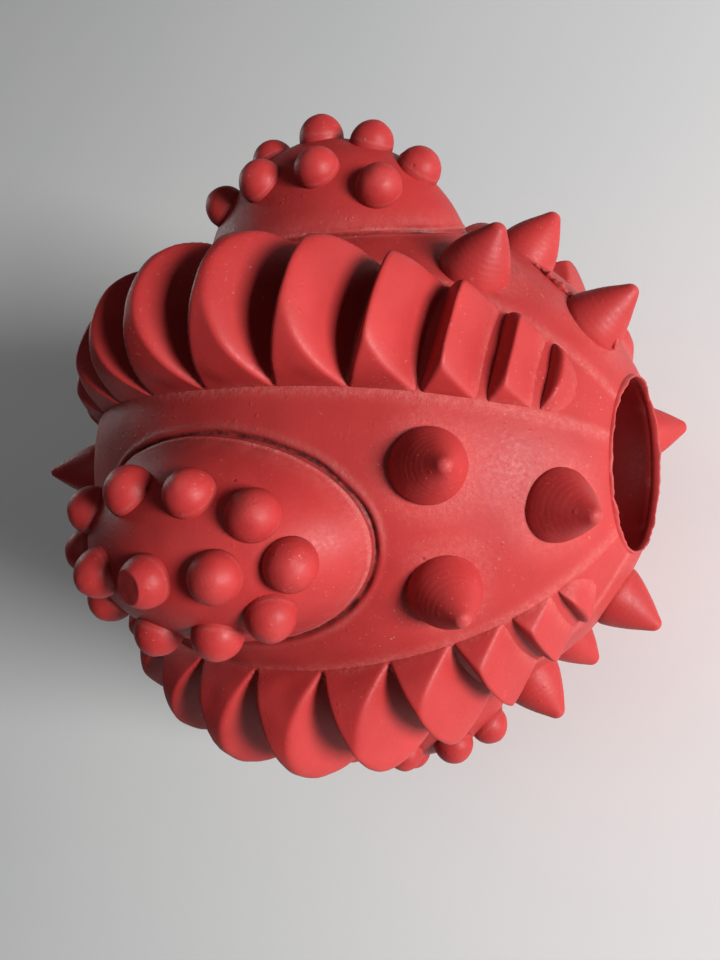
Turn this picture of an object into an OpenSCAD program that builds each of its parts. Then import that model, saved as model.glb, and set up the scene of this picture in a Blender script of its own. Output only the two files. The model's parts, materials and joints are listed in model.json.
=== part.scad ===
// Hollow moulded rubber ball with four toothed ribs, four studded pads and rings of spikes.
// The long axis lies along +X with the open mouth at the +X end, and +Z is up
// as the ball lies on the ground. The origin is the middle of the ball.
// Millimetres throughout.

/* [Body] */
// Diameter of the bare body across its middle
body_d = 56; // [52:1:60]
// Length of the bare body along its long axis
body_l = 66; // [64:1:70]
// Thickness of the rubber wall
wall = 4.5; // [3.5:0.5:5.5]
// Diameter of the open mouth
mouth_d = 17; // [15:1:18]
// Height of the thin lip of rubber round the mouth
lip_h = 0.6; // [0.4:0.1:1]
// Turn of the ball about its long axis as it lies on the ground
lie_angle = 31; // [0:1:45]

/* [Ribs] */
// Half width of a rib, which is round in section
rib_r = 7.2; // [6.5:0.1:7.8]
// Distance from the long axis to the top of a rib at its middle
rib_top = 35; // [34:0.5:36]
// Distance from the long axis to the centre of a rib's curve
rib_bow = 2.7; // [2.2:0.1:3.2]
// Grooves on each side of the one at the middle of a rib
groove_pairs = 5; // [4:1:6]
// Angle from the middle groove to the next one
groove_pitch = 17; // [15:0.5:18]
// How much closer each groove is than the one before
groove_shrink = 0.86; // [0.84:0.01:0.88]
// Slope of a groove's wall
groove_slope = 24; // [18:1:28]

/* [Pads] */
// Half length of a pad along the ball
pad_l = 16.4; // [14:0.2:18]
// Radius of a pad's round section
pad_r = 9.9; // [9:0.1:10.5]
// Distance from the long axis to the top of a pad
pad_top = 36.6; // [36:0.2:38]
// Radius of each nub on a pad
nub_r = 2.45; // [2:0.05:2.7]

/* [Spikes] */
// Radius of a spike where it meets the body
spike_r = 3.2; // [2.8:0.1:3.5]
// Height of a spike above the body
spike_h = 5.4; // [4.5:0.1:6.5]
// Radius of a spike's rounded tip
spike_tip_r = 0.5; // [0.4:0.1:0.8]
// Latitude of the paired spikes beside a pad, towards the mouth
pair_lat = 38; // [36:1:40]
// Latitude of the single spike beside the mouth
single_lat = 59.8; // [58:0.2:61]
// Latitude of the paired spikes at the closed end
end_lat = -56; // [-60:1:-52]
// Angle from a pad's middle line to each spike of a pair
pair_lon = 14.6; // [13:0.2:16]
// Lean of the paired spikes towards the mouth
pair_lean = 8; // [0:1:12]

/* [Hidden] */

$fn = 64;
rubber = "firebrick";
sides = 4;
side_turn = 360 / sides;
profile_steps = 28;
lip_w = 0.5;
sink = 2;
reach = 60;

// Nubs on a pad as [distance towards the mouth, distance to the side]
middle_nubs = [[12, 0], [7, 0], [1, 0], [-5.7, 0], [-12.6, 0]];
side_nubs = [[9.4, 4.3], [3.9, 6.3], [-3.1, 6.5], [-10, 4.3]];

// Outline of half an oval, from its lower end to its upper end
function half_oval(across, along) = [
    for (i = [0 : profile_steps])
        let (a = -90 + 180 * i / profile_steps)
        [across * cos(a), along * sin(a)]
];

// Distance from the centre of a rib's curve out to the body, at an angle from its middle
function body_reach(a) =
    let (
        p = pow(cos(a) / (body_d / 2), 2) + pow(sin(a) / (body_l / 2), 2),
        q = rib_bow * cos(a) / pow(body_d / 2, 2),
        s = pow(rib_bow / (body_d / 2), 2) - 1
    )
    (-q + sqrt(q * q - p * s)) / p;

// Angle from the middle of a rib to its groove number i
function groove_angle(i) = groove_pitch * (1 - pow(groove_shrink, i)) / (1 - groove_shrink);

// The body's outward direction at a latitude, as an angle above its middle plane
function outward(lat) = atan2(sin(lat) / (body_l / 2), cos(lat) / (body_d / 2));

// Lays the ball down: its long axis goes from upright to along +X
module lay_down() {
    rotate([0, 90, 0])
        rotate([0, 0, 180 + lie_angle])
            children();
}

// Turns a piece to side number k of the ball
module on_side(k) {
    rotate([0, 0, side_turn * (k - 1)])
        children();
}

module oval(across, along) {
    rotate_extrude()
        polygon(half_oval(across, along));
}

module outer_body() {
    oval(body_d / 2, body_l / 2);
}

// The hollow body, open at the mouth
module shell() {
    difference() {
        outer_body();
        oval(body_d / 2 - wall, body_l / 2 - wall);
        cylinder(d = mouth_d, h = body_l);
    }
}

// Thin lip of rubber that stands round the mouth
module lip() {
    rim_z = body_l / 2 * sqrt(1 - pow(mouth_d / body_d, 2));
    difference() {
        translate([0, 0, rim_z - sink])
            cylinder(d = mouth_d + 2 * lip_w, h = sink + lip_h);
        cylinder(d = mouth_d, h = body_l);
        outer_body();
    }
}

// Places the groove cutter at an angle along a rib
module groove(a) {
    floor_r = body_reach(a) - 1;
    rim_r = rib_top + 1;
    half_w = (rim_r - floor_r) * tan(groove_slope);
    rotate([0, 0, a])
        linear_extrude(height = reach, center = true)
            polygon([[floor_r, 0], [rim_r, half_w], [rim_r, -half_w]]);
}

// A rib that runs from end to end of the body, cut into teeth by grooves
module toothed_rib() {
    end_angle = groove_angle(groove_pairs + 1);
    difference() {
        translate([rib_bow, 0, 0])
            rotate([90, 0, 0])
                difference() {
                    rotate([0, 0, -end_angle])
                        rotate_extrude(angle = 2 * end_angle)
                            translate([rib_top - rib_bow - rib_r, 0])
                                circle(r = rib_r);
                    for (i = [-groove_pairs : groove_pairs])
                        groove(sign(i) * groove_angle(abs(i)));
                }
        outer_body();
    }
}

module pad_oval() {
    translate([pad_top - pad_r, 0, 0])
        oval(pad_r, pad_l);
}

module pad() {
    difference() {
        pad_oval();
        outer_body();
    }
}

// One nub, a ball half sunk in the pad's surface
module nub(along, side) {
    height = sqrt(pow(pad_r, 2) * (1 - pow(along / pad_l, 2)) - pow(side, 2));
    translate([pad_top - pad_r + height, side, along])
        sphere(r = nub_r);
}

module nubs() {
    difference() {
        union() {
            for (place = middle_nubs)
                nub(place[0], place[1]);
            for (place = side_nubs, way = [-1, 1])
                nub(place[0], way * place[1]);
        }
        pad_oval();
    }
}

// A spike at a latitude and longitude, leaning towards the mouth
module spike(lat, lon, lean) {
    cone_h = spike_h - spike_tip_r;
    difference() {
        rotate([0, 0, lon])
            translate([body_d / 2 * cos(lat), 0, body_l / 2 * sin(lat)])
                rotate([0, 90 - outward(lat) - lean, 0]) {
                    translate([0, 0, -sink])
                        cylinder(r = spike_r, h = sink);
                    cylinder(r1 = spike_r, r2 = spike_tip_r, h = cone_h);
                    translate([0, 0, cone_h])
                        sphere(r = spike_tip_r);
                }
        outer_body();
    }
}

module body_shell() {
    color(rubber) lay_down() shell();
}

module mouth_lip() {
    color(rubber) lay_down() lip();
}

module rib(k) {
    color(rubber) lay_down() on_side(k + 0.5) toothed_rib();
}

module side_pad(k) {
    color(rubber) lay_down() on_side(k) pad();
}

module side_nubs(k) {
    color(rubber) lay_down() on_side(k) nubs();
}

module mouth_spike(k) {
    color(rubber) lay_down() on_side(k) spike(single_lat, 0, 0);
}

module side_spike(k, way) {
    color(rubber) lay_down() on_side(k) spike(pair_lat, way * pair_lon, pair_lean);
}

module end_spike(k, way) {
    color(rubber) lay_down() on_side(k) spike(end_lat, way * pair_lon, 0);
}

body_shell();
mouth_lip();
rib(1);  // rib_1
rib(2);  // rib_2
rib(3);  // rib_3
rib(4);  // rib_4
side_pad(1);  // pad_1
side_pad(2);  // pad_2
side_pad(3);  // pad_3
side_pad(4);  // pad_4
side_nubs(1);  // pad_1_nubs
side_nubs(2);  // pad_2_nubs
side_nubs(3);  // pad_3_nubs
side_nubs(4);  // pad_4_nubs
mouth_spike(1);  // mouth_spike_1
mouth_spike(2);  // mouth_spike_2
mouth_spike(3);  // mouth_spike_3
mouth_spike(4);  // mouth_spike_4
side_spike(1, 1);  // side_spike_1_left
side_spike(1, -1);  // side_spike_1_right
side_spike(2, 1);  // side_spike_2_left
side_spike(2, -1);  // side_spike_2_right
side_spike(3, 1);  // side_spike_3_left
side_spike(3, -1);  // side_spike_3_right
side_spike(4, 1);  // side_spike_4_left
side_spike(4, -1);  // side_spike_4_right
end_spike(1, 1);  // end_spike_1_left
end_spike(1, -1);  // end_spike_1_right
end_spike(2, 1);  // end_spike_2_left
end_spike(2, -1);  // end_spike_2_right
end_spike(3, 1);  // end_spike_3_left
end_spike(3, -1);  // end_spike_3_right
end_spike(4, 1);  // end_spike_4_left
end_spike(4, -1);  // end_spike_4_right
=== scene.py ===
import json
import math

import bmesh
import bpy
import numpy as np
from mathutils import Matrix, Vector


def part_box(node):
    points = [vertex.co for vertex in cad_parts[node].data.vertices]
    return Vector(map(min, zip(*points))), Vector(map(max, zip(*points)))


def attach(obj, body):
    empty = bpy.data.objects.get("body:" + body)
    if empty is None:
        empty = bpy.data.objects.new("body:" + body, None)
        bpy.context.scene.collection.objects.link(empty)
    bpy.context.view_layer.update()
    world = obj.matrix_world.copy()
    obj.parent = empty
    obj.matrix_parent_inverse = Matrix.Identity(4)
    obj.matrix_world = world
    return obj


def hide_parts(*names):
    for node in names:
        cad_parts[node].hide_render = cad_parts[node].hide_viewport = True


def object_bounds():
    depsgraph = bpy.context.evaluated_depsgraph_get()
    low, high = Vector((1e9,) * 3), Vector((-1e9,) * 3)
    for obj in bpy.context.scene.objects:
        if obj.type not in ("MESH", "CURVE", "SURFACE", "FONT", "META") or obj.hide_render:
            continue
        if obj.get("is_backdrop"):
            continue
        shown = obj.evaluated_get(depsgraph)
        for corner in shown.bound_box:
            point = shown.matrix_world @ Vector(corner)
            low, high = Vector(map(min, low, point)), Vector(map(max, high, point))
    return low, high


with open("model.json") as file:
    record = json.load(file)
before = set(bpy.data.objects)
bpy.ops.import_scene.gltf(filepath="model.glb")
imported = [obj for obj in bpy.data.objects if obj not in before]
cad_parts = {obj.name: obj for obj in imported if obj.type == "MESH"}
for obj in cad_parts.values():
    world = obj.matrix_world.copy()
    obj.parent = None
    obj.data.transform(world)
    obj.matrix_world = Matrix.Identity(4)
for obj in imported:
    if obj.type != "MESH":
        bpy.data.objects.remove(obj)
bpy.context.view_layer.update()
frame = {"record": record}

# Looks of a hollow moulded rubber ball. Every shape is worked out in millimetres in the
# ball's own frame, where Z runs out of the mouth and pad 1 is towards +X, and is then laid
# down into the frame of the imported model.

# ---------------------------------------------------------------- measures, in millimetres
MM = 0.001
SIDES = 4
LIE_ANGLE = math.radians(31)
# How far the body and the pads are drawn in, so that their lumps keep to the measured size
DRAWN_IN = 0.08

# Body shell and mouth
shell_low, shell_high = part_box("body_shell")
BODY_R = shell_high.z / MM
BODY_H = -shell_low.x / MM
WALL = 4.5
MOUTH_R = frame["record"]["mounts"][0]["dims"]["r_mm"]
RIM_LAT = math.acos(MOUTH_R / BODY_R)
RIM_Z = BODY_H * math.sin(RIM_LAT)
LIP_H = 0.55
# The wall flares from the throat, round a bend, to where it meets the hollow
THROAT_DROP = 0.35
BEND_R = 0.1
BEND_DROP = 2.4
FLARE_R = 15.0

# The groove and the raised edge that run round each pad: how far out, how wide, how deep or high
MOAT_AT, MOAT_WIDTH, MOAT_DEPTH = 0.22, 0.16, 0.34
EDGE_AT, EDGE_WIDTH, EDGE_HEIGHT = 0.62, 0.22, 0.08
MOAT_WANDER = 0.06

# Ribs and their grooves, which are counted from the one at the middle
RIB_R = 7.5
RIB_TOP = 35.2
RIB_BOW = 2.7
RIB_NARROW = 3.8
RIB_ROOT = 2.3
RIB_TAPER_ANGLE = math.radians(65)
RIB_TAPER_POWER = 1.9
RIB_END = math.radians(72)
RIB_LON = math.radians(45)
RIB_HALF_TURN = math.radians(98)
RIB_DRAWN_IN = 0.12
FLANK_SWELL = 0.035
GROOVE_PAIRS = 5
GROOVE_PITCH = math.radians(17)
GROOVE_SHRINK = 0.86
GROOVE_SLOPE = math.radians(21.5)
GROOVE_WIDEN = math.radians(8)
GROOVE_DEPTH = 0.6
GROOVE_ROUND = 0.15
NO_LIMIT = 99.0
LEAST_GAIN = 0.02
TOOTH_LEAN = math.radians(-8)
TOOTH_SPREAD = 0.5
TOOTH_ROUNDING = 0.8
TOP_ROUNDING = 1.9
# Changes towards a rib's ends, as (amount, angle where it starts, angle where it is full)
CREST_DROP = (0.5, 0.95, 1.10)
LAST_TOOTH_DROP = (1.2, 1.16, 1.25)
ROOT_DROP = (1.6, 0.9, 1.2)
SOFTER = (0.6, 0.5, 1.0)
SHARPER = (0.9, 1.05, 1.14)

# Pads, and nubs on a pad as (distance towards the mouth, distance to the side)
PAD_SUNK = 0.8
PAD_MIDDLE = np.array([22.1, 0.0, 0.0])
PAD_HALF = np.array([14.5, 10.4, 16.0])
PAD_CURVE = 1.75
MIDDLE_NUBS = [(12.0, 0), (7.0, 0), (1.0, 0), (-5.7, 0), (-12.6, 0)]
SIDE_NUBS = [(9.4, 4.3), (3.9, 6.3), (-3.1, 6.5), (-10.0, 4.3)]
NUB_R = 2.3
NUB_H = 2.3
# One nub out of line, and one whose top is cut flat, as (pad, place in the list)
STRAY_NUB = (4, 6)
STRAY_PLACE = (10.2, 5.5)
CUT_NUB = (1, 2)
CUT_WAY = np.array([-0.28, 0.06, 0.96])
CUT_HEIGHT = 1.75

# Spikes
SPIKE_R = 3.3
SPIKE_H = 5.3
PAIR_LAT = math.radians(38)
SINGLE_LAT = math.radians(59.8)
END_LAT = math.radians(-56)
PAIR_LON = math.radians(14.6)
PAIR_LEAN = math.radians(8)
PAIR_TIP = {1: 0.9, 2: 0.95, 3: 0.85, 4: 0.95}
SINGLE_TIP = 0.85
END_TIP = 0.6
PAIR_FULL = 1.42
SINGLE_FULL = 1.25
RING_HEIGHT = 0.005
RING_WAVES = 58
# One side spike out of line, as (side, way)
STRAY_SPIKE = (4, 1)
STRAY_TURN = math.radians(5)


# ---------------------------------------------------------------- shape helpers
def smoothstep(low, high, x):
    """Goes smoothly from 0 at low to 1 at high, which may be the smaller of the two."""
    t = np.clip((x - low) / (high - low), 0, 1)
    return t * t * (3 - 2 * t)


def smooth_min(a, b, width):
    """The smaller of two surfaces, with the edge between them rounded over a width."""
    h = np.clip(0.5 + 0.5 * (b - a) / width, 0, 1)
    return b + (a - b) * h - width * h * (1 - h)


def hump(x, middle, width):
    """A smooth hump that is 1 at its middle and fades over a width."""
    return np.exp(-(((x - middle) / width) ** 2))


def lumps(points, size, seed, waves=14):
    """Smooth bumps of about the given size, mostly between -1 and 1, at points in millimetres."""
    rng = np.random.default_rng(seed)
    ways = rng.normal(size=(waves, 3))
    ways *= (2 * math.pi / size / np.linalg.norm(ways, axis=1))[:, None]
    ways *= rng.uniform(0.6, 1.4, waves)[:, None]
    phases = rng.uniform(0, 2 * math.pi, waves)
    return np.cos(points @ ways.T + phases).sum(-1) / waves * 2.2


def layers(points, *sorts):
    """Lumps of several sorts added up, each given as height, size and seed."""
    return sum(height * lumps(points, size, seed) for height, size, seed in sorts)


def patches(points, size, seed):
    """Lumps as shares from about 0 to 1."""
    return 0.5 + 0.5 * lumps(points, size, seed)


def turn_z(points, angle):
    """Turns points about the ball's long axis."""
    c, s = math.cos(angle), math.sin(angle)
    return points @ np.array([[c, s, 0], [-s, c, 0], [0, 0, 1]])


def on_side(points, k):
    """Turns points from side 1 to side k of the ball."""
    return turn_z(points, (k - 1) * 2 * math.pi / SIDES)


def lay_down(points):
    """From the ball's own frame, in millimetres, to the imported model's frame, in metres."""
    c, s = math.cos(LIE_ANGLE), math.sin(LIE_ANGLE)
    return points @ np.array([[0, -s, c], [0, -c, -s], [1, 0, 0]]) * MM


def body_radius(points):
    """The size of the body's oval through each point: 1 is on the surface."""
    across = (points[..., 0] ** 2 + points[..., 1] ** 2) / BODY_R ** 2
    return np.sqrt(across + (points[..., 2] / BODY_H) ** 2)


def body_depth(points):
    """About how far each point is inside the body's surface, in millimetres."""
    size = body_radius(points)
    slope = points / np.array([BODY_R ** 2, BODY_R ** 2, BODY_H ** 2])
    return (1 - size) * size / np.linalg.norm(slope, axis=-1)


def body_point(lat, lon):
    """The body's surface at a latitude, 90 degrees at the mouth end, and a longitude."""
    lat, lon = np.broadcast_arrays(lat, lon)
    flat = BODY_R * np.cos(lat)
    return np.stack([flat * np.cos(lon), flat * np.sin(lon), BODY_H * np.sin(lat)], -1)


def body_normal(lat, lon):
    """Which way is out of the body at a latitude and longitude."""
    lat, lon = np.broadcast_arrays(lat, lon)
    flat = np.cos(lat) / BODY_R
    n = np.stack([flat * np.cos(lon), flat * np.sin(lon), np.sin(lat) / BODY_H], -1)
    return n / np.linalg.norm(n, axis=-1, keepdims=True)


def tripod(normal, along):
    """Three unit directions, as rows: along the surface, across it, and out of it."""
    out = np.asarray(normal, float) / np.linalg.norm(normal)
    forth = np.asarray(along, float) - out * np.dot(along, out)
    forth /= np.linalg.norm(forth)
    return np.array([forth, np.cross(out, forth), out])


# ---------------------------------------------------------------- mesh helpers
def skin_faces(count, around, looped):
    """Faces through rings of points, with a fan at each end, or no ends if looped."""
    i, j = np.meshgrid(np.arange(count if looped else count - 1), np.arange(around), indexing="ij")
    here, there = i * around, (i + 1) % count * around
    j_next = (j + 1) % around
    quads = np.stack([here + j, here + j_next, there + j_next, there + j], -1).reshape(-1, 4)
    faces = quads.tolist()
    if not looped:
        first, last = count * around, count * around + 1
        base = (count - 1) * around
        for n in range(around):
            m = (n + 1) % around
            faces.append([first, m, n])
            faces.append([last, base + n, base + m])
    return faces


def read_points(mesh):
    flat = np.empty(len(mesh.vertices) * 3)
    mesh.vertices.foreach_get("co", flat)
    return flat.reshape(-1, 3)


def make_skin(name, rings, finish, looped=False, refine=None):
    """A closed mesh through rings of points in the ball's own frame.

    refine cuts parts of the mesh finer. finish moves the points a little and returns them with
    the marks for the material."""
    count, around = rings.shape[:2]
    points = rings.reshape(-1, 3)
    if not looped:
        points = np.concatenate([points, rings[0].mean(0)[None], rings[-1].mean(0)[None]])
    mesh = bpy.data.meshes.new(name)
    mesh.from_pydata(points.tolist(), [], skin_faces(count, around, looped))
    if refine:
        refine(mesh)
    points, marks = finish(read_points(mesh))
    mesh.vertices.foreach_set("co", lay_down(points).ravel())
    for mark, values in marks.items():
        layer = mesh.attributes.new(mark, "FLOAT", "POINT")
        layer.data.foreach_set("value", values.astype(np.float32))
    turn_outward(mesh)
    mesh.shade_smooth()
    piece = bpy.data.objects.new(name, mesh)
    bpy.context.scene.collection.objects.link(piece)
    return piece


def turn_outward(mesh):
    """Flips the faces if the closed mesh is inside out."""
    solid = bmesh.new()
    solid.from_mesh(mesh)
    if solid.calc_volume(signed=True) < 0:
        bmesh.ops.reverse_faces(solid, faces=solid.faces)
    solid.to_mesh(mesh)
    solid.free()


# ---------------------------------------------------------------- where the features meet the body
def fold_to_pad(points):
    """Turns every point to side 1, so that the nearest pad is always the one towards +X."""
    x, y = points[..., 0], points[..., 1]
    side = np.round(np.arctan2(y, x) / (math.pi / 2))
    c, s = np.cos(side * math.pi / 2), np.sin(side * math.pi / 2)
    return np.stack([c * x + s * y, c * y - s * x, points[..., 2]], -1)


def pad_slope(local):
    """Which way is out of a pad's dome, from a point in shares of the pad's half sizes."""
    share = np.linalg.norm(local[..., 1:], axis=-1, keepdims=True)
    across = PAD_CURVE / 2 * np.maximum(share, 0.02) ** (PAD_CURVE - 2) * local[..., 1:]
    return np.concatenate([local[..., :1], across], -1) / PAD_HALF


def pad_distance(points):
    """About how far each point is outside the nearest pad, in millimetres."""
    local = (fold_to_pad(points) - PAD_MIDDLE) / PAD_HALF
    share = np.linalg.norm(local[..., 1:], axis=-1)
    level = local[..., 0] ** 2 + share ** PAD_CURVE - 1
    return level / 2 / np.linalg.norm(pad_slope(local), axis=-1)


def spike_distance(points):
    """About how far each point on the body is from the edge of the nearest spike."""
    local = fold_to_pad(points)
    places = [(SINGLE_LAT, 0), (PAIR_LAT, PAIR_LON), (PAIR_LAT, -PAIR_LON)]
    places += [(END_LAT, PAIR_LON), (END_LAT, -PAIR_LON)]
    gaps = [np.linalg.norm(local - body_point(*p), axis=-1) - SPIKE_R for p in places]
    return np.min(gaps, axis=0)


def rib_distance(points):
    """About how far each point on the body is from the edge of the nearest rib."""
    local = fold_to_pad(points)
    across = (local[..., 0] - np.abs(local[..., 1])) / math.sqrt(2)
    share = np.clip(1 - (local[..., 2] / BODY_H) ** 2, 0, 1)
    return across - RIB_R * share ** 0.55


# ---------------------------------------------------------------- body shell and mouth lip
def body_rings():
    """Rings from the closed end along the outside to the mouth, and back along the inside."""
    around, outer_count, flare_count, inner_count = 480, 290, 26, 80
    lon = np.linspace(0, 2 * math.pi, around, endpoint=False)
    closed_end = -math.pi / 2
    outer_lats = np.linspace(closed_end + 0.004, RIM_LAT, outer_count)
    outer = [body_point(lat, lon) for lat in outer_lats]
    inner_r, inner_h = BODY_R - WALL, BODY_H - WALL
    inner_top = math.acos(FLARE_R / inner_r)
    throat = np.array([MOUTH_R, RIM_Z - THROAT_DROP])
    bend = np.array([MOUTH_R + BEND_R, RIM_Z - BEND_DROP])
    join = np.array([FLARE_R, inner_h * math.sin(inner_top)])
    t = np.linspace(0, 1, flare_count)[:, None]
    flare = (throat * (1 - t) ** 2 + bend * 2 * t * (1 - t) + join * t ** 2).tolist()
    hollow = [
        [inner_r * math.cos(lat), inner_h * math.sin(lat)]
        for lat in np.linspace(inner_top, closed_end + 0.01, inner_count)[1:]
    ]
    inner = [
        np.stack([r * np.cos(lon), r * np.sin(lon), np.full(around, z)], -1)
        for r, z in flare + hollow
    ]
    return np.array(outer + inner)


def relief(points):
    """Moves the points of the body's skin: faint lumps, and a groove round each pad."""
    outside = smoothstep(2.0, 0.5, body_depth(points))
    gap = pad_distance(points)
    wavy_gap = gap + MOAT_WANDER * lumps(points, 5, 31)
    moat = -MOAT_DEPTH * hump(wavy_gap, MOAT_AT, MOAT_WIDTH)
    edge = EDGE_HEIGHT * hump(wavy_gap, EDGE_AT, EDGE_WIDTH)
    swell = layers(points, (0.10, 22, 7), (0.025, 4, 8)) - DRAWN_IN
    height = (moat * (0.7 + 0.3 * lumps(points, 3, 32)) + edge + swell) * outside
    normal = points / np.array([BODY_R ** 2, BODY_R ** 2, BODY_H ** 2])
    normal /= np.linalg.norm(normal, axis=-1, keepdims=True)
    near_mouth = smoothstep(RIM_Z - 0.2, RIM_Z - 1.5, points[:, 2])
    moved = points + normal * (height * near_mouth)[:, None]

    # Bloom beside ribs but not at the closed end, round spikes, and along the pads' edges
    ragged = patches(points, 9, 41)
    beside_rib = rib_distance(points)
    bloom_and_highlight = 0.55 * hump(beside_rib, 0, 0.7) * smoothstep(-0.9, -0.2, beside_rib)
    bloom_and_highlight *= smoothstep(-30, -26, points[:, 2])
    bloom_and_highlight += 0.6 * hump(np.maximum(spike_distance(points), 0), 0, 1.6) * ragged
    bloom_and_highlight += 0.5 * hump(gap, 0.75, 0.3) * ragged
    # Painted shade, mottled, in the groove round each pad and beside it
    crevice_shade = hump(wavy_gap, 0.2, 0.17)
    crevice_shade += 0.35 * hump(gap, 0.5, 0.45) * ragged
    return moved, {"bloom_and_highlight": bloom_and_highlight * outside, "crevice_shade": crevice_shade * outside}


def refine_round_pads(mesh):
    """Cuts the outer faces of the body finer along the groove that runs round each pad."""
    middle, reach = 0.3, 1.1
    points = read_points(mesh)
    near = (body_depth(points) < 0.5) & (np.abs(pad_distance(points) - middle) < reach)
    solid = bmesh.new()
    solid.from_mesh(mesh)
    solid.verts.ensure_lookup_table()
    edges = [e for e in solid.edges if near[e.verts[0].index] and near[e.verts[1].index]]
    bmesh.ops.subdivide_edges(solid, edges=edges, cuts=2, use_grid_fill=True)
    solid.to_mesh(mesh)
    solid.free()


def body_shell():
    return make_skin("ball_body", body_rings(), relief, refine=refine_round_pads)


def mouth_lip():
    """A thin torn edge of rubber round the mouth."""
    around = 1600
    lon = np.linspace(0, 2 * math.pi, around, endpoint=False)
    ring = np.stack([MOUTH_R * np.cos(lon), MOUTH_R * np.sin(lon), np.zeros(around)], -1)
    torn = 0.4 + layers(ring, (0.35, 9, 51), (0.22, 2.6, 52), (0.12, 0.8, 54))
    height = LIP_H * np.clip(torn, 0.02, 1)
    sway = layers(ring, (0.05, 5, 53), (0.03, 1.2, 55))
    # Over the edge from inside to outside: distance out from the mouth's wall, then a share of
    # the torn height above the rim, or millimetres below it
    outline = [(-0.05, -0.5), (-0.05, -0.2), (-0.04, 0.5), (0.02, 1.0), (0.11, 0.96)]
    outline += [(0.22, 0.3), (0.34, -0.3), (0.40, -0.9)]
    rings = []
    for out, up in outline:
        z = RIM_Z + (height * up if up > 0 else up)
        r = MOUTH_R + out + sway * max(up, 0)
        rings.append(np.stack([r * np.cos(lon), r * np.sin(lon), np.broadcast_to(z, lon.shape)], -1))

    def edge_marks(points):
        # Paler towards the torn top of the lip
        bloom_and_highlight = 0.35 * smoothstep(RIM_Z - 0.05, RIM_Z + 0.3, points[:, 2])
        return points, {"bloom_and_highlight": bloom_and_highlight, "crevice_shade": np.zeros(len(points))}

    return make_skin("torn_mouth_lip", np.array(rings), edge_marks, looped=True)


# ---------------------------------------------------------------- ribs
def groove_angle(i):
    """Angle from the middle of a rib to groove i. Each step is shorter than the one before."""
    steps = (1 - GROOVE_SHRINK ** abs(i)) / (1 - GROOVE_SHRINK)
    return math.copysign(GROOVE_PITCH * steps, i)


def body_reach(a):
    """Distance from the centre of a rib's curve out to the body, at an angle from its middle."""
    p = (np.cos(a) / BODY_R) ** 2 + (np.sin(a) / BODY_H) ** 2
    q = RIB_BOW * np.cos(a) / BODY_R ** 2
    s = (RIB_BOW / BODY_R) ** 2 - 1
    return (np.sqrt(q * q - p * s) - q) / p


def rib_line(a):
    """In a rib's own plane: the points of the body at some angles, and which way teeth point there."""
    reach = body_reach(a)
    base = np.stack([reach * np.cos(a), reach * np.sin(a)], -1)
    lean = TOOTH_LEAN + TOOTH_SPREAD * a
    return base, np.stack([np.cos(lean), np.sin(lean)], -1)


def change(far, amount, start, full):
    """What a change towards a rib's ends comes to, at angles from the rib's middle."""
    return amount * smoothstep(start, full, far)


def cross_flat(a, b):
    """The cross product of directions in a plane."""
    return a[..., 0] * b[..., 1] - a[..., 1] * b[..., 0]


def groove_height(a):
    """How high the rib may stand over the body at each angle, below its V-shaped grooves."""
    base, way = rib_line(a)
    limit = np.full(a.shape, NO_LIMIT)
    for i in range(-GROOVE_PAIRS, GROOVE_PAIRS + 1):
        middle = groove_angle(i)
        foot, up = rib_line(np.array(middle))
        from_foot = base - (foot - GROOVE_DEPTH * up)
        slope = math.tan(GROOVE_SLOPE + GROOVE_WIDEN * smoothstep(0.3, 1.1, abs(middle)))
        aside = np.hypot(cross_flat(up, from_foot), GROOVE_ROUND) - GROOVE_ROUND
        gain = way @ up - np.sign(a - middle) * cross_flat(up, way) / slope
        height = (aside / slope - from_foot @ up) / np.maximum(gain, LEAST_GAIN)
        limit = np.minimum(limit, np.where(gain > LEAST_GAIN, height, NO_LIMIT))
    return limit


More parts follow.
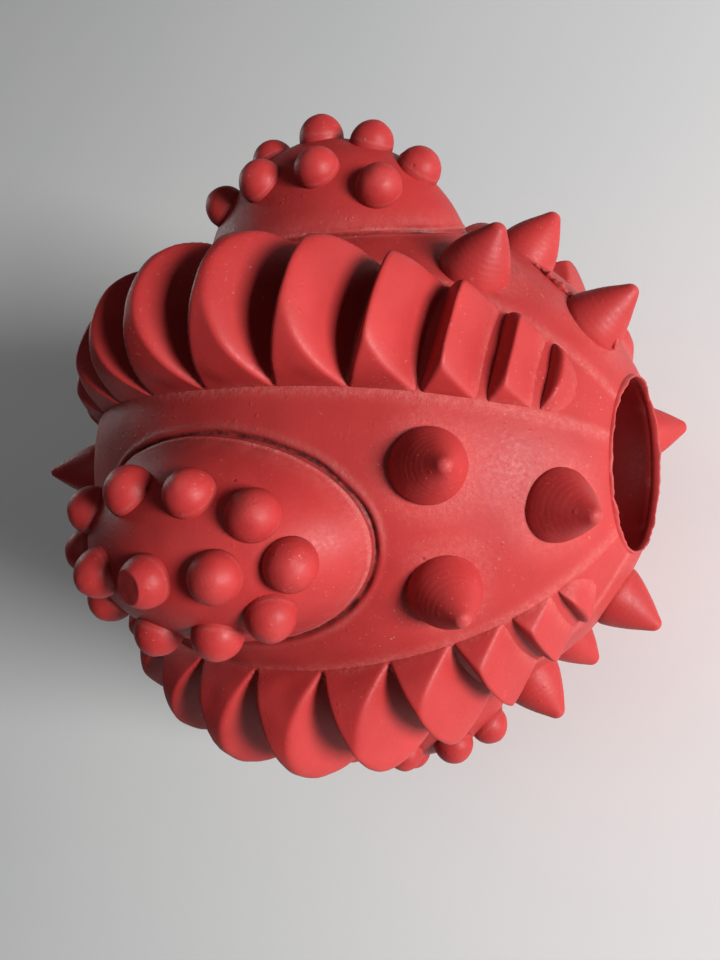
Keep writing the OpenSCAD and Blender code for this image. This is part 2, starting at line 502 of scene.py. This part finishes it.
def rib(k):
    """A half-round rib that follows the body and narrows to its ends, cut into leaning teeth."""
    stops = [-RIB_END] + [groove_angle(i) for i in range(-GROOVE_PAIRS, GROOVE_PAIRS + 1)] + [RIB_END]
    per_tooth, across_count = 30, 75
    spans = [np.linspace(low, high, per_tooth, endpoint=False) for low, high in zip(stops, stops[1:])]
    a = np.append(np.concatenate(spans), RIB_END)[:, None]
    far = np.abs(a)
    turn = np.linspace(-RIB_HALF_TURN, RIB_HALF_TURN, across_count)[None]

    # The plain tube along the rib, lower at its ends
    base, way = rib_line(a)
    inward = (base * way).sum(-1)
    crest = RIB_TOP - RIB_BOW - change(far, *CREST_DROP) - change(far, *LAST_TOOTH_DROP)
    top = np.sqrt(inward ** 2 + crest ** 2 - (base ** 2).sum(-1)) - inward
    radius = RIB_R - RIB_NARROW * (far / RIB_TAPER_ANGLE) ** RIB_TAPER_POWER
    root = RIB_ROOT - change(far, *ROOT_DROP)
    rise = top + root - radius
    flank = radius * (1 + FLANK_SWELL * np.sin(2 * turn) ** 2)
    tube = rise * np.cos(turn) + np.sqrt(np.maximum(flank ** 2 - (rise * np.sin(turn)) ** 2, 0.01))

    # The grooves cut into it, with rounded edges that are softest a little before the ends
    well_over = tube + 9
    cut = np.minimum((groove_height(a) + root) / np.maximum(np.cos(turn), 0.04), well_over)
    soft = 1 + change(far, *SOFTER) - change(far, *SHARPER)
    rounding = (TOOTH_ROUNDING + TOP_ROUNDING * np.maximum(np.cos(turn), 0)) * soft
    out = smooth_min(tube, cut, rounding)
    flat = base + (out * np.cos(turn) - root)[..., None] * way
    rings = np.stack([RIB_BOW + flat[..., 0], out * np.sin(turn), flat[..., 1]], -1)
    rings = turn_z(rings, RIB_LON)

    def finish(points):
        high = -body_depth(points)
        low_edge = hump(np.maximum(high, 0), 0, 0.45)
        wobble = layers(points, (0.05, 3.5, 60 + k), (0.09, 14, 70 + k))
        lat = np.arcsin(np.clip(points[:, 2] / BODY_H, -1, 1))
        away = points - body_point(lat, RIB_LON)
        away /= np.linalg.norm(away, axis=-1, keepdims=True) + 1e-6
        points = points + away * (wobble - RIB_DRAWN_IN)[:, None] * smoothstep(0, 1.5, high)[:, None]
        bloom_and_highlight = 0.6 * low_edge * patches(points, 6, 80 + k)
        return on_side(points, k), {"bloom_and_highlight": bloom_and_highlight, "crevice_shade": np.zeros(len(points))}

    return make_skin(f"rib_{k}_teeth", rings, finish)


# ---------------------------------------------------------------- pads and their nubs
def pad(k):
    """A long dome whose edge dips into the body, with a thin raised rim."""
    around = 420
    turn = np.linspace(0, 2 * math.pi, around, endpoint=False)

    def dome_point(tilt):
        share = np.sin(tilt)
        rise = np.sqrt(1 - share ** PAD_CURVE)
        return PAD_MIDDLE + PAD_HALF * np.stack([rise, share * np.sin(turn), share * np.cos(turn)], -1)

    # Halves the gap until the edge is where the dome has dipped far enough into the body
    inside, outside = np.full(around, 0.05), np.full(around, 1.57)
    for _ in range(30):
        tilt = (inside + outside) / 2
        deep = body_depth(dome_point(tilt)) > PAD_SUNK
        inside, outside = np.where(deep, inside, tilt), np.where(deep, tilt, outside)
    part = np.concatenate([np.linspace(0.004, 0.86, 90), np.linspace(0.86, 1.0, 50)[1:]])
    rings = [dome_point(s * inside) for s in part]
    # Closes the dome with rings that shrink below the body's surface
    foot = rings[-1]
    for s in (0.9, 0.7, 0.45, 0.2, 0.04):
        sunk = foot * np.array([1, s, s])
        reach = np.sqrt(1 - (sunk[:, 2] / BODY_H) ** 2) * BODY_R
        sunk[:, 0] = np.sqrt(np.maximum(reach ** 2 - sunk[:, 1] ** 2, 0)) - PAD_SUNK * (1.6 - 0.4 * s)
        rings.append(sunk)

    def finish(points):
        high = -body_depth(points)
        rim = hump(high, 0.22, 0.2)
        normal = pad_slope((points - PAD_MIDDLE) / PAD_HALF)
        normal /= np.linalg.norm(normal, axis=-1, keepdims=True)
        swell = 0.11 * rim + layers(points, (0.08, 13, 90 + k), (0.02, 3, 95 + k))
        points = points + normal * (swell * smoothstep(-0.4, 0, high) - DRAWN_IN)[:, None]
        bloom_and_highlight = 1.1 * hump(high, 0.3, 0.16) * patches(points, 8, 100 + k)
        bloom_and_highlight += 0.22 * hump(high, 0.8, 0.8)
        # Painted shade where the pad meets the body
        return on_side(points, k), {"bloom_and_highlight": bloom_and_highlight, "crevice_shade": 0.9 * hump(high, 0, 0.12)}

    return make_skin(f"pad_{k}_dome", np.array(rings), finish)


def turned_rings(profile, around, rng, waver=0.02):
    """Rings from a profile of (radius, height) pairs, a little out of round and out of upright."""
    turn = np.linspace(0, 2 * math.pi, around, endpoint=False)
    lean = rng.normal(0, 0.02, 2)
    rings = []
    for r, z in profile:
        round_r = r * (1 + waver * np.sin(2 * turn + rng.uniform(0, 0.3)))
        x = round_r * np.cos(turn) + lean[0] * z
        y = round_r * np.sin(turn) + lean[1] * z
        rings.append(np.stack([x, y, np.full(around, z)], -1))
    return np.array(rings)


def nub_profile(rng):
    """A slightly pointed button, from its top down to its sunk foot."""
    radius = NUB_R * (1 + rng.normal(0, 0.012))
    height = NUB_H * (1 + rng.normal(0, 0.02))
    profile = []
    for t in np.linspace(0.03, 1, 30):
        angle = t * math.pi / 2
        profile.append((radius * math.sin(angle) ** 1.06, height * math.cos(angle)))
    return profile + [(radius, -0.3), (radius * 0.96, -1.0), (radius * 0.4, -1.1), (0.05, -1.1)]


def pad_nub(k, number, along, side, rng):
    """One button on a pad. The one named by CUT_NUB has its top cut flat."""
    share = math.hypot(side / PAD_HALF[1], along / PAD_HALF[2])
    rise = PAD_HALF[0] * math.sqrt(1 - share ** PAD_CURVE)
    foot = PAD_MIDDLE + np.array([rise, side, along])
    axes = tripod(pad_slope((foot - PAD_MIDDLE) / PAD_HALF), (0, 0, 1))
    rings = turned_rings(nub_profile(rng), 56, rng)
    if (k, number) == CUT_NUB:
        over = np.maximum(rings @ CUT_WAY - CUT_HEIGHT, 0)
        rings = rings - over[..., None] * CUT_WAY
    rings = foot + rings @ axes

    def finish(points):
        high = (points - foot) @ axes[2]
        seed = 200 + 20 * k + number
        points = points + axes[2] * (0.03 * lumps(points, 1.6, seed) * smoothstep(0.1, 1, high))[:, None]
        # Bloom round the nub's foot, and a painted highlight on its top
        bloom_and_highlight = 0.30 * hump(high, 0.15, 0.2) + 0.12 * smoothstep(1.6, 2.3, high)
        # Painted shade round the nub's foot
        crevice_shade = 0.25 * hump(high, 0, 0.12)
        return on_side(points, k), {"bloom_and_highlight": bloom_and_highlight, "crevice_shade": crevice_shade}

    return make_skin(f"pad_{k}_nub_{number + 1}", rings, finish)


def pad_nubs(k):
    places = MIDDLE_NUBS + [(u, way * v) for u, v in SIDE_NUBS for way in (-1, 1)]
    if k == STRAY_NUB[0]:
        places[STRAY_NUB[1]] = STRAY_PLACE
    rng = np.random.default_rng(300 + k)
    return [pad_nub(k, n, u, v, rng) for n, (u, v) in enumerate(places)]


# ---------------------------------------------------------------- spikes
def spike_profile(rng, tip_r, full):
    """A blunt spike, from its rounded tip down to its sunk foot, with faint turned rings.

    The larger full is, the fuller its sides and the steeper its foot. A tip blunter than those of
    the closed end is lower by the difference."""
    height = SPIKE_H * (1 + rng.normal(0, 0.012)) - max(tip_r - END_TIP, 0)
    profile = [
        (tip_r * math.sin(angle), height - tip_r * (1 - math.cos(angle)))
        for angle in np.linspace(0.12, 1.0, 9)
    ]
    neck_r, neck_z = profile[-1]
    phase = rng.uniform(0, 6)
    for s in np.linspace(0, 1, 64)[1:]:
        grown = (1 - (1 - s) ** full) * (1 - 0.05 * hump(s, 0, 0.16))
        ring = RING_HEIGHT * math.sin(RING_WAVES * s + phase) * math.sin(math.pi * s)
        profile.append((neck_r + (SPIKE_R - neck_r) * grown + ring, neck_z * (1 - s)))
    return profile + [(SPIKE_R + 0.02, -0.3), (SPIKE_R, -1.4), (SPIKE_R * 0.4, -1.5), (0.05, -1.5)]


def spike(name, k, lat, lon, lean, tip_r, full, seed):
    """A spike on side k, leaning towards the mouth."""
    rng = np.random.default_rng(seed)
    foot = body_point(lat, lon)
    axes = tripod(body_normal(lat, lon), (0, 0, 1))
    up = axes[2] * math.cos(lean) + axes[0] * math.sin(lean)
    axes = tripod(up, axes[0])
    rings = foot + turned_rings(spike_profile(rng, tip_r, full), 96, rng, 0.006) @ axes

    def finish(points):
        high = -body_depth(points)
        reach = (points - foot) @ axes[2]
        points = points + axes[0] * (0.04 * lumps(points, 2.5, seed))[:, None]
        bloom_and_highlight = 0.25 * hump(np.maximum(high, 0), 0, 0.3) * patches(points, 3, seed + 1)
        # A painted highlight on the spike's tip, carried with the bloom
        bloom_and_highlight += 0.35 * smoothstep(SPIKE_H - 0.9, SPIKE_H, reach)
        return on_side(points, k), {"bloom_and_highlight": bloom_and_highlight, "crevice_shade": np.zeros(len(points))}

    return make_skin(name, rings, finish)


# ---------------------------------------------------------------- scraps of mould flash
def flash(name, path, out, seed):
    """A thin ragged fin of rubber along a path, standing in the direction out at each point."""
    ragged = np.clip(0.45 + layers(path, (0.5, 1.7, seed), (0.3, 0.6, seed + 1)), 0.05, 1)
    forth = np.gradient(path, axis=0)
    side = np.cross(out, forth)
    side /= np.linalg.norm(side, axis=-1, keepdims=True)
    taper = np.sin(np.linspace(0.02, 0.98, len(path)) * math.pi) ** 0.4
    turn = np.linspace(0, 2 * math.pi, 14, endpoint=False)
    half_width = 0.24 * taper * (0.7 + 0.5 * ragged)
    half_height = 0.55 * taper * ragged
    wide = (half_width[:, None] * np.cos(turn))[..., None] * side[:, None]
    tall = (half_height[:, None] * np.sin(turn))[..., None] * out[:, None]
    sway = 0.12 * lumps(path, 1.3, seed + 2)[:, None, None] * side[:, None]
    rings = path[:, None] + wide + tall + sway

    def finish(points):
        bloom_and_highlight = 0.25 + 0.35 * np.clip(lumps(points, 0.8, seed + 3), 0, 1)
        return points, {"bloom_and_highlight": bloom_and_highlight, "crevice_shade": np.zeros(len(points))}

    return make_skin(name, rings, finish)


def parting_flash():
    """Flash along the parting line between the spikes of side 4."""
    lat = np.radians(np.linspace(43, 55, 90))
    lon = np.radians(-92 + 1.5 * np.sin(lat * 23))
    return flash("parting_flash", body_point(lat, lon), body_normal(lat, lon), 501)


def spike_flash():
    """Flash up the mouth side of the single spike of side 4."""
    lon = -math.pi / 2
    foot = body_point(SINGLE_LAT, lon)
    axes = tripod(body_normal(SINGLE_LAT, lon), (0, 0, 1))
    out = axes[0] * math.cos(0.3) - axes[1] * math.sin(0.3)
    share = np.linspace(0.02, 0.5, 60)[:, None]
    reach = SPIKE_R * (1 - share) ** 0.75
    path = foot + out * reach + axes[2] * SPIKE_H * share
    return flash("spike_flash", path, np.broadcast_to(out, path.shape), 511)


# ---------------------------------------------------------------- material
def add_node(tree, kind, **values):
    node = tree.nodes.new(kind)
    for key, value in values.items():
        setattr(node, key, value)
    return node


def noise(tree, coords, scale, detail=3.0, rough=0.55):
    node = add_node(tree, "ShaderNodeTexNoise")
    node.inputs["Scale"].default_value = scale
    node.inputs["Detail"].default_value = detail
    node.inputs["Roughness"].default_value = rough
    tree.links.new(coords, node.inputs["Vector"])
    return node.outputs["Fac"]


def ramp(tree, value, low, high, to_low=0.0, to_high=1.0):
    node = add_node(tree, "ShaderNodeMapRange", clamp=True)
    for socket, number in zip(("From Min", "From Max", "To Min", "To Max"), (low, high, to_low, to_high)):
        node.inputs[socket].default_value = number
    tree.links.new(value, node.inputs["Value"])
    return node.outputs["Result"]


def maths(tree, operation, a, b):
    node = add_node(tree, "ShaderNodeMath", operation=operation)
    for socket, value in zip(node.inputs, (a, b)):
        if isinstance(value, (int, float)):
            socket.default_value = value
        else:
            tree.links.new(value, socket)
    return node.outputs[0]


def mix_colour(tree, factor, a, b):
    node = add_node(tree, "ShaderNodeMix", data_type="RGBA")
    tree.links.new(factor, node.inputs["Factor"])
    for socket, value in ((node.inputs[6], a), (node.inputs[7], b)):
        if isinstance(value, tuple):
            socket.default_value = (*value, 1)
        else:
            tree.links.new(value, socket)
    return node.outputs[2]


RED_DEEP = (0.31, 0.021, 0.021)
RED_BRIGHT = (0.40, 0.032, 0.031)
PIT_SHADE = (0.15, 0.012, 0.012)
PINK_BLOOM_AND_HIGHLIGHT = (0.62, 0.20, 0.18)
PALE_DUST = (0.66, 0.34, 0.30)
PAINTED_SHADE = (0.055, 0.014, 0.012)


def red_rubber():
    """Moulded red rubber: mottled, with pits that hold painted shade, pale specks, bloom along edges,
    painted highlights on spike and nub tops, and painted shade in grooves and at the feet of pads and
    nubs.
    """
    material = bpy.data.materials.new("red_rubber")
    material.use_nodes = True
    tree = material.node_tree
    shader = tree.nodes["Principled BSDF"]
    coords = add_node(tree, "ShaderNodeTexCoord").outputs["Object"]
    bloom_and_highlight = add_node(tree, "ShaderNodeAttribute", attribute_name="bloom_and_highlight").outputs["Fac"]
    crevice_shade = add_node(tree, "ShaderNodeAttribute", attribute_name="crevice_shade").outputs["Fac"]

    # Mottled red
    cloudy = noise(tree, coords, 90, 4)
    grain = noise(tree, coords, 2600, 3, 0.7)
    sandy = noise(tree, coords, 1500, 5, 0.75)
    colour = mix_colour(tree, ramp(tree, cloudy, 0.3, 0.7), RED_DEEP, RED_BRIGHT)

    # Small pits, in some places only, with painted shade inside them
    spots = add_node(tree, "ShaderNodeTexVoronoi")
    spots.inputs["Scale"].default_value = 420
    tree.links.new(coords, spots.inputs["Vector"])
    spot = ramp(tree, spots.outputs["Distance"], 0.04, 0.09, 1.0, 0.0)
    chosen = ramp(tree, noise(tree, coords, 260, 2), 0.56, 0.62)
    pit = maths(tree, "MULTIPLY", spot, chosen)
    colour = mix_colour(tree, maths(tree, "MULTIPLY", pit, 0.5), colour, PIT_SHADE)

    # Patches of pale dust
    dust = ramp(tree, noise(tree, coords, 2600, 2, 0.6), 0.67, 0.74)
    dusty = ramp(tree, noise(tree, coords, 150, 3), 0.45, 0.65)
    dust = maths(tree, "MULTIPLY", dust, dusty)
    colour = mix_colour(tree, maths(tree, "MULTIPLY", dust, 0.38), colour, PALE_DUST)

    # Bloom along edges with painted highlights on spike and nub tops, and painted shade in grooves and at
    # feet, where the meshes are marked with them
    sand = ramp(tree, sandy, 0.42, 0.62)
    frost_and_highlight = maths(tree, "MULTIPLY", bloom_and_highlight, ramp(tree, sandy, 0.40, 0.62, 0.35, 1.0))
    colour = mix_colour(tree, maths(tree, "MULTIPLY", frost_and_highlight, 0.55), colour, PINK_BLOOM_AND_HIGHLIGHT)
    crevice_shading = maths(tree, "MULTIPLY", crevice_shade, ramp(tree, sandy, 0.35, 0.6, 0.25, 1.0))
    colour = mix_colour(tree, crevice_shading, colour, PAINTED_SHADE)
    tree.links.new(colour, shader.inputs["Base Color"])

    # A satin surface, duller where it has bloom and where the painted highlights are
    rough = ramp(tree, grain, 0.3, 0.7, 0.40, 0.58)
    rough = maths(tree, "ADD", rough, maths(tree, "MULTIPLY", frost_and_highlight, 0.12))
    tree.links.new(rough, shader.inputs["Roughness"])
    shader.inputs["Specular IOR Level"].default_value = 0.2

    # Fine bumps: grain, raised specks, sandy bloom, and the pits again
    specks = add_node(tree, "ShaderNodeTexVoronoi")
    specks.inputs["Scale"].default_value = 1100
    tree.links.new(coords, specks.inputs["Vector"])
    speck = ramp(tree, specks.outputs["Distance"], 0.08, 0.24, 1.0, 0.0)
    speck = maths(tree, "MULTIPLY", speck, ramp(tree, noise(tree, coords, 210, 3), 0.52, 0.62))

    height = maths(tree, "MULTIPLY", grain, 0.5)
    height = maths(tree, "ADD", height, maths(tree, "MULTIPLY", speck, 0.8))
    height = maths(tree, "ADD", height, maths(tree, "MULTIPLY", maths(tree, "MULTIPLY", sand, bloom_and_highlight), 1.6))
    height = maths(tree, "SUBTRACT", height, maths(tree, "MULTIPLY", pit, 1.2))
    bump = add_node(tree, "ShaderNodeBump")
    bump.inputs["Strength"].default_value = 0.6
    bump.inputs["Distance"].default_value = 0.00006
    tree.links.new(height, bump.inputs["Height"])
    tree.links.new(bump.outputs["Normal"], shader.inputs["Normal"])
    return material


# ---------------------------------------------------------------- assembly
rubber = red_rubber()


def place(piece, *nodes):
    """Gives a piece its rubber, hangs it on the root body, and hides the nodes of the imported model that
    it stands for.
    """
    piece.data.materials.append(rubber)
    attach(piece, "root")
    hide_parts(*nodes)


place(body_shell(), "body_shell")
place(mouth_lip(), "mouth_lip")
for k in range(1, SIDES + 1):
    place(rib(k), f"rib_{k}")
    place(pad(k), f"pad_{k}")
    for nub in pad_nubs(k):
        place(nub, f"pad_{k}_nubs")
    single = spike(f"mouth_spike_{k}_cone", k, SINGLE_LAT, 0, 0, SINGLE_TIP, SINGLE_FULL, 400 + k)
    place(single, f"mouth_spike_{k}")
    for way, word in ((1, "left"), (-1, "right")):
        lon = way * PAIR_LON + (STRAY_TURN if (k, way) == STRAY_SPIKE else 0)
        side_name, end_name = f"side_spike_{k}_{word}", f"end_spike_{k}_{word}"
        seed = 2 * k + way
        side = spike(side_name + "_cone", k, PAIR_LAT, lon, PAIR_LEAN, PAIR_TIP[k], PAIR_FULL, 410 + seed)
        place(side, side_name)
        end = spike(end_name + "_cone", k, END_LAT, way * PAIR_LON, 0, END_TIP, SINGLE_FULL, 430 + seed)
        place(end, end_name)
place(parting_flash(), "body_shell")
place(spike_flash(), "mouth_spike_4")


# ---------------------------------------------------------------- floor, light and camera
FLOOR_DIM = (0.84, 0.85, 0.85)
FLOOR_LIGHT = (0.90, 0.90, 0.89)


def pale_floor():
    size = 1.2
    mesh = bpy.data.meshes.new("floor")
    gap = 0.0001
    floor_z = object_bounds()[0][2] - gap
    corners = [(x * size, y * size, floor_z) for x, y in ((-1, -1), (1, -1), (1, 1), (-1, 1))]
    mesh.from_pydata(corners, [], [(0, 1, 2, 3)])
    floor = bpy.data.objects.new("floor", mesh)
    bpy.context.scene.collection.objects.link(floor)
    material = bpy.data.materials.new("pale_floor")
    material.use_nodes = True
    tree = material.node_tree
    shader = tree.nodes["Principled BSDF"]
    coords = add_node(tree, "ShaderNodeTexCoord").outputs["Object"]
    soft = ramp(tree, noise(tree, coords, 9, 3), 0.3, 0.7)
    colour = mix_colour(tree, soft, FLOOR_DIM, FLOOR_LIGHT)
    tree.links.new(colour, shader.inputs["Base Color"])
    shader.inputs["Roughness"].default_value = 0.8
    mesh.materials.append(material)
    floor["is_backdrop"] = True


VIEW_AZIMUTH = math.radians(-23.2)
VIEW_ELEVATION = math.radians(54.36)
VIEW_ROLL = math.radians(62.54)
VIEW_DISTANCE = 0.1016
VIEW_LENS = 32.57
AIM_RIGHT = -0.0004
AIM_UP = -0.0014


def view_axes():
    """The camera's right, up and backward directions, as rows."""
    flat = math.cos(VIEW_ELEVATION)
    back = Vector((
        flat * math.cos(VIEW_AZIMUTH), flat * math.sin(VIEW_AZIMUTH), math.sin(VIEW_ELEVATION)))
    level = Vector((0, 0, 1)).cross(back).normalized()
    upright = back.cross(level)
    right = level * math.cos(VIEW_ROLL) - upright * math.sin(VIEW_ROLL)
    up = level * math.sin(VIEW_ROLL) + upright * math.cos(VIEW_ROLL)
    return right, up, back


def add_camera():
    right, up, back = view_axes()
    data = bpy.data.cameras.new("camera")
    data.lens = VIEW_LENS
    data.sensor_width = 36
    data.clip_start = 0.01
    camera = bpy.data.objects.new("camera", data)
    bpy.context.scene.collection.objects.link(camera)
    turn = Matrix((right, up, back)).transposed().to_4x4()
    place_at = right * AIM_RIGHT + up * AIM_UP + back * VIEW_DISTANCE
    camera.matrix_world = Matrix.Translation(place_at) @ turn
    bpy.context.scene.camera = camera


def soft_light(name, way, distance, size, power):
    """A square lamp that shines at the ball from a direction given as right, up, backward."""
    axes = view_axes()
    source = sum((axis * amount for axis, amount in zip(axes, way)), Vector()).normalized()
    data = bpy.data.lights.new(name, "AREA")
    data.energy = power
    data.size = size
    lamp = bpy.data.objects.new(name, data)
    bpy.context.scene.collection.objects.link(lamp)
    turn = source.to_track_quat("Z", "Y").to_matrix().to_4x4()
    lamp.matrix_world = Matrix.Translation(source * distance) @ turn


def inner_glow():
    """A weak red lamp in the hollow, for the light that the rubber lets through."""
    glow = bpy.data.lights.new("glow", "POINT")
    glow.energy = 0.0055
    glow.color = (1.0, 0.6, 0.6)
    glow.shadow_soft_size = 0.006
    lamp = bpy.data.objects.new("glow", glow)
    lamp.visible_camera = False
    bpy.context.scene.collection.objects.link(lamp)


def add_lights():
    soft_light("key", (0.62, -0.05, 0.78), distance=0.5, size=0.16, power=4.4)
    soft_light("top", (-0.52, 0.27, 0.81), distance=0.7, size=0.5, power=0.45)
    soft_light("back", (-0.77, 0.4, -0.5), distance=0.8, size=0.24, power=1.1)
    inner_glow()
    world = bpy.data.worlds.new("studio")
    world.use_nodes = True
    world.node_tree.nodes["Background"].inputs["Color"].default_value = (0.9, 0.95, 1.0, 1)
    world.node_tree.nodes["Background"].inputs["Strength"].default_value = 0.02
    bpy.context.scene.world = world


pale_floor()
add_camera()
add_lights()
bpy.context.scene.view_settings.view_transform = "Standard"
